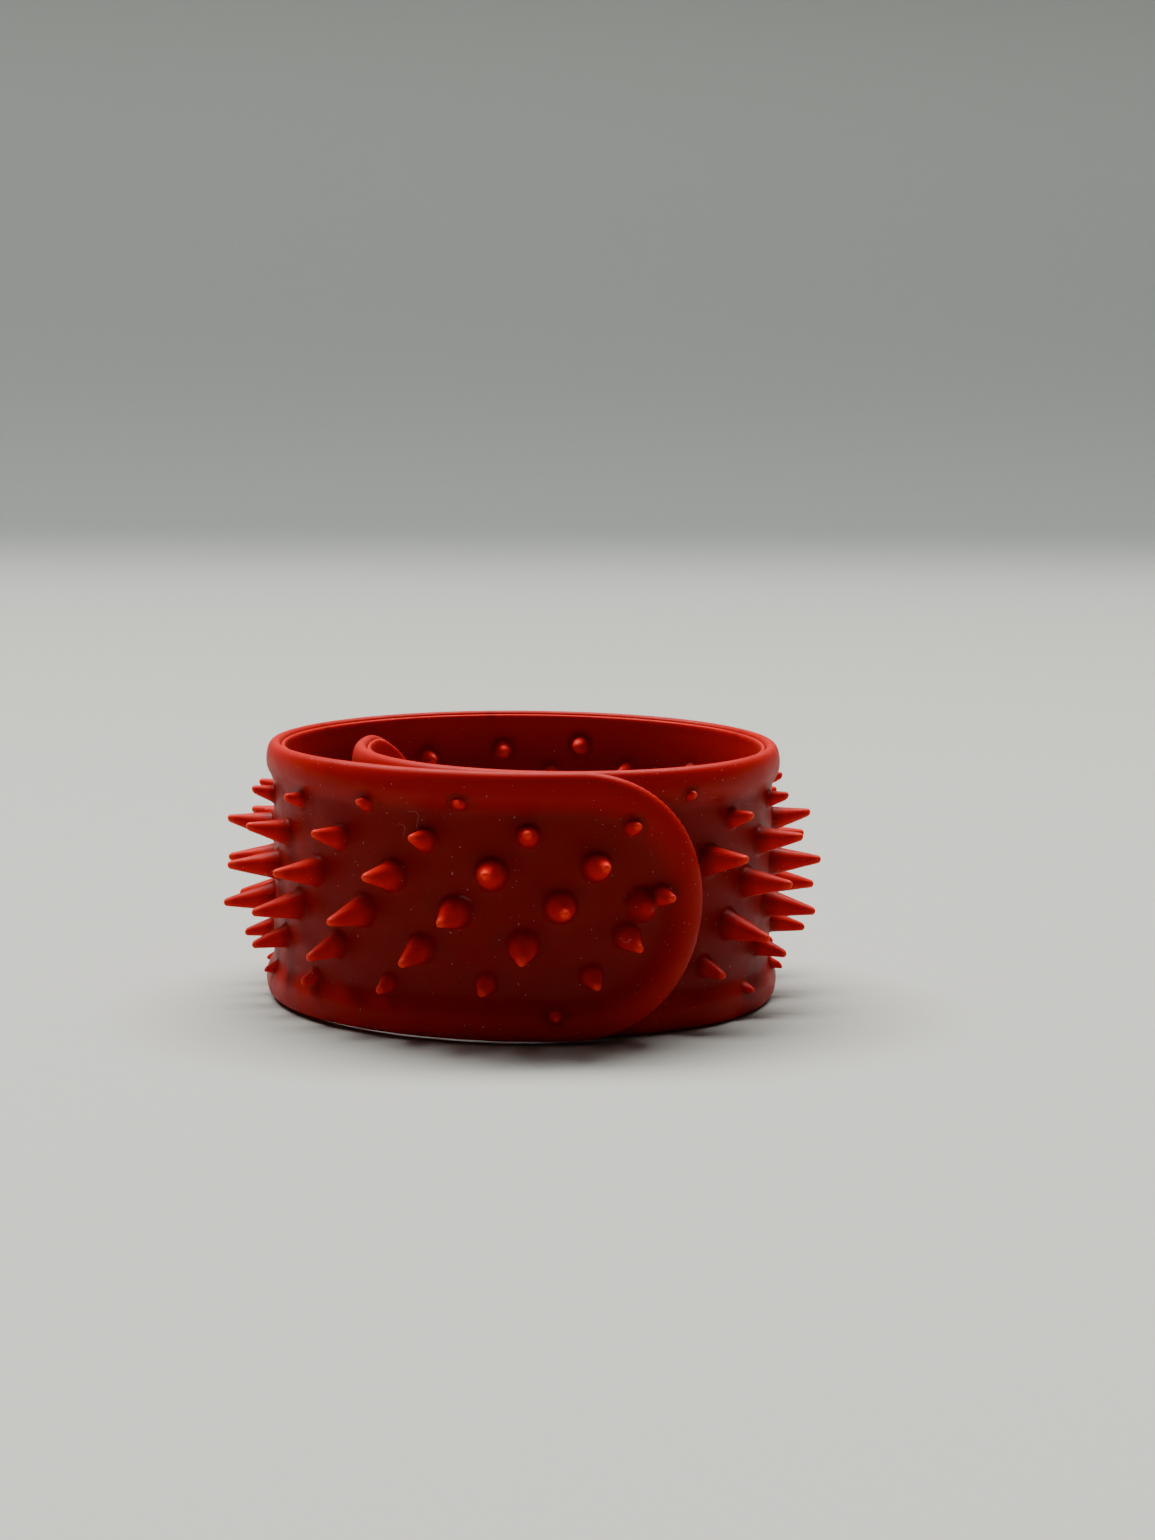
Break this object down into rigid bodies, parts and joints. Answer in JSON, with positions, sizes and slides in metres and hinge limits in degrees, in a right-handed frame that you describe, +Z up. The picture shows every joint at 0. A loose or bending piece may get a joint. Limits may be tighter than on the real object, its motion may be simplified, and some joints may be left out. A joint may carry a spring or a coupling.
{
  "type": "wrist pin cushion band",
  "caption": "Coiled red silicone slap band with soft spikes outside that hold pins, short grip nubs inside and a sprung steel strip.",
  "frame": {"origin": "middle of the wrist opening, on the plane that the coil's lower edge stands on", "axes": "+Z up along the coil's axis, -Y towards the overlap where the outer rounded end lies, +X to its right"},
  "size_m": [0.0705, 0.0714, 0.03],
  "materials": {
    "silicone_shell": "matte",
    "silicone_liner": "matte",
    "spring_steel": "satin"
  },
  "bodies": {
    "link_01": {"shell_01": "silicone_shell", "steel_01": "spring_steel", "liner_01": "silicone_liner"},
    "link_02": {"shell_02": "silicone_shell", "steel_02": "spring_steel", "liner_02": "silicone_liner"},
    "link_03": {"shell_03": "silicone_shell", "steel_03": "spring_steel", "liner_03": "silicone_liner"},
    "link_04": {"shell_04": "silicone_shell", "steel_04": "spring_steel", "liner_04": "silicone_liner"},
    "link_05": {"shell_05": "silicone_shell", "steel_05": "spring_steel", "liner_05": "silicone_liner"},
    "link_06": {"shell_06": "silicone_shell", "steel_06": "spring_steel", "liner_06": "silicone_liner"},
    "link_07": {"shell_07": "silicone_shell", "steel_07": "spring_steel", "liner_07": "silicone_liner"},
    "link_08": {"shell_08": "silicone_shell", "steel_08": "spring_steel", "liner_08": "silicone_liner"},
    "link_09": {"shell_09": "silicone_shell", "steel_09": "spring_steel", "liner_09": "silicone_liner"},
    "link_10": {"shell_10": "silicone_shell", "steel_10": "spring_steel", "liner_10": "silicone_liner"},
    "link_11": {"shell_11": "silicone_shell", "steel_11": "spring_steel", "liner_11": "silicone_liner"},
    "link_12": {"shell_12": "silicone_shell", "steel_12": "spring_steel", "liner_12": "silicone_liner"},
    "link_13": {"shell_13": "silicone_shell", "steel_13": "spring_steel", "liner_13": "silicone_liner"},
    "link_14": {"shell_14": "silicone_shell", "steel_14": "spring_steel", "liner_14": "silicone_liner"},
    "link_15": {"shell_15": "silicone_shell", "steel_15": "spring_steel", "liner_15": "silicone_liner"},
    "link_16": {"shell_16": "silicone_shell", "steel_16": "spring_steel", "liner_16": "silicone_liner"},
    "link_17": {"shell_17": "silicone_shell", "steel_17": "spring_steel", "liner_17": "silicone_liner"},
    "link_18": {"shell_18": "silicone_shell", "steel_18": "spring_steel", "liner_18": "silicone_liner"},
    "link_19": {"shell_19": "silicone_shell", "steel_19": "spring_steel", "liner_19": "silicone_liner"},
    "link_20": {"shell_20": "silicone_shell", "steel_20": "spring_steel", "liner_20": "silicone_liner"}
  },
  "joints": [
    {"name": "flex_01", "type": "hinge", "parent": "link_02", "child": "link_01", "pos_m": [0.00611, -0.02916, 0.015], "axis": [0, 0, -1], "range_deg": [0, 22.55]},
    {"name": "flex_02", "type": "hinge", "parent": "link_03", "child": "link_02", "pos_m": [-0.00635, -0.02881, 0.015], "axis": [0, 0, -1], "range_deg": [0, 23.55]},
    {"name": "flex_03", "type": "hinge", "parent": "link_04", "child": "link_03", "pos_m": [-0.01765, -0.02352, 0.015], "axis": [0, 0, -1], "range_deg": [0, 24.05]},
    {"name": "flex_04", "type": "hinge", "parent": "link_05", "child": "link_04", "pos_m": [-0.02581, -0.0141, 0.015], "axis": [0, 0, -1], "range_deg": [0, 25.85]},
    {"name": "flex_05", "type": "hinge", "parent": "link_06", "child": "link_05", "pos_m": [-0.02906, -0.00206, 0.015], "axis": [0, 0, -1], "range_deg": [0, 25.05]},
    {"name": "flex_06", "type": "hinge", "parent": "link_07", "child": "link_06", "pos_m": [-0.02692, 0.01023, 0.015], "axis": [0, 0, -1], "range_deg": [0, 24.25]},
    {"name": "flex_07", "type": "hinge", "parent": "link_08", "child": "link_07", "pos_m": [-0.01993, 0.02055, 0.015], "axis": [0, 0, -1], "range_deg": [0, 25.05]},
    {"name": "flex_08", "type": "hinge", "parent": "link_09", "child": "link_08", "pos_m": [-0.00923, 0.02696, 0.015], "axis": [0, 0, -1], "range_deg": [0, 25.05]},
    {"name": "flex_09", "type": "hinge", "parent": "link_10", "child": "link_09", "pos_m": [0.00318, 0.02824, 0.015], "axis": [0, 0, -1], "range_deg": [0, 25], "stiffness_Nm_per_rad": 0.1},
    {"name": "flex_10", "type": "hinge", "parent": "link_10", "child": "link_11", "pos_m": [0.01496, 0.02416, 0.015], "axis": [0, 0, 1], "range_deg": [0, 25.55]},
    {"name": "flex_11", "type": "hinge", "parent": "link_11", "child": "link_12", "pos_m": [0.02384, 0.0154, 0.015], "axis": [0, 0, 1], "range_deg": [0, 25.55]},
    {"name": "flex_12", "type": "hinge", "parent": "link_12", "child": "link_13", "pos_m": [0.02809, 0.00368, 0.015], "axis": [0, 0, 1], "range_deg": [0, 26.05]},
    {"name": "flex_13", "type": "hinge", "parent": "link_13", "child": "link_14", "pos_m": [0.02676, -0.00872, 0.015], "axis": [0, 0, 1], "range_deg": [0, 26.55]},
    {"name": "flex_14", "type": "hinge", "parent": "link_14", "child": "link_15", "pos_m": [0.02004, -0.01923, 0.015], "axis": [0, 0, 1], "range_deg": [0, 28.55]},
    {"name": "flex_15", "type": "hinge", "parent": "link_15", "child": "link_16", "pos_m": [0.00913, -0.02525, 0.015], "axis": [0, 0, 1], "range_deg": [0, 30.55]},
    {"name": "flex_16", "type": "hinge", "parent": "link_16", "child": "link_17", "pos_m": [-0.00334, -0.0249, 0.015], "axis": [0, 0, 1], "range_deg": [0, 32.45]},
    {"name": "flex_17", "type": "hinge", "parent": "link_17", "child": "link_18", "pos_m": [-0.01368, -0.01793, 0.015], "axis": [0, 0, 1], "range_deg": [0, 31.85]},
    {"name": "flex_18", "type": "hinge", "parent": "link_18", "child": "link_19", "pos_m": [-0.01879, -0.00656, 0.015], "axis": [0, 0, 1], "range_deg": [0, 30.05]},
    {"name": "flex_19", "type": "hinge", "parent": "link_19", "child": "link_20", "pos_m": [-0.01753, 0.00585, 0.015], "axis": [0, 0, 1], "range_deg": [0, 26.85]}
  ],
  "couplings": [
    {"joint": "flex_01", "follows": "flex_09", "ratio": 0.9},
    {"joint": "flex_02", "follows": "flex_09", "ratio": 0.94},
    {"joint": "flex_03", "follows": "flex_09", "ratio": 0.96},
    {"joint": "flex_04", "follows": "flex_09", "ratio": 1.032},
    {"joint": "flex_05", "follows": "flex_09", "ratio": 1},
    {"joint": "flex_06", "follows": "flex_09", "ratio": 0.968},
    {"joint": "flex_07", "follows": "flex_09", "ratio": 1},
    {"joint": "flex_08", "follows": "flex_09", "ratio": 1},
    {"joint": "flex_10", "follows": "flex_09", "ratio": 1.02},
    {"joint": "flex_11", "follows": "flex_09", "ratio": 1.02},
    {"joint": "flex_12", "follows": "flex_09", "ratio": 1.04},
    {"joint": "flex_13", "follows": "flex_09", "ratio": 1.06},
    {"joint": "flex_14", "follows": "flex_09", "ratio": 1.14},
    {"joint": "flex_15", "follows": "flex_09", "ratio": 1.22},
    {"joint": "flex_16", "follows": "flex_09", "ratio": 1.296},
    {"joint": "flex_17", "follows": "flex_09", "ratio": 1.272},
    {"joint": "flex_18", "follows": "flex_09", "ratio": 1.2},
    {"joint": "flex_19", "follows": "flex_09", "ratio": 1.072}
  ]
}
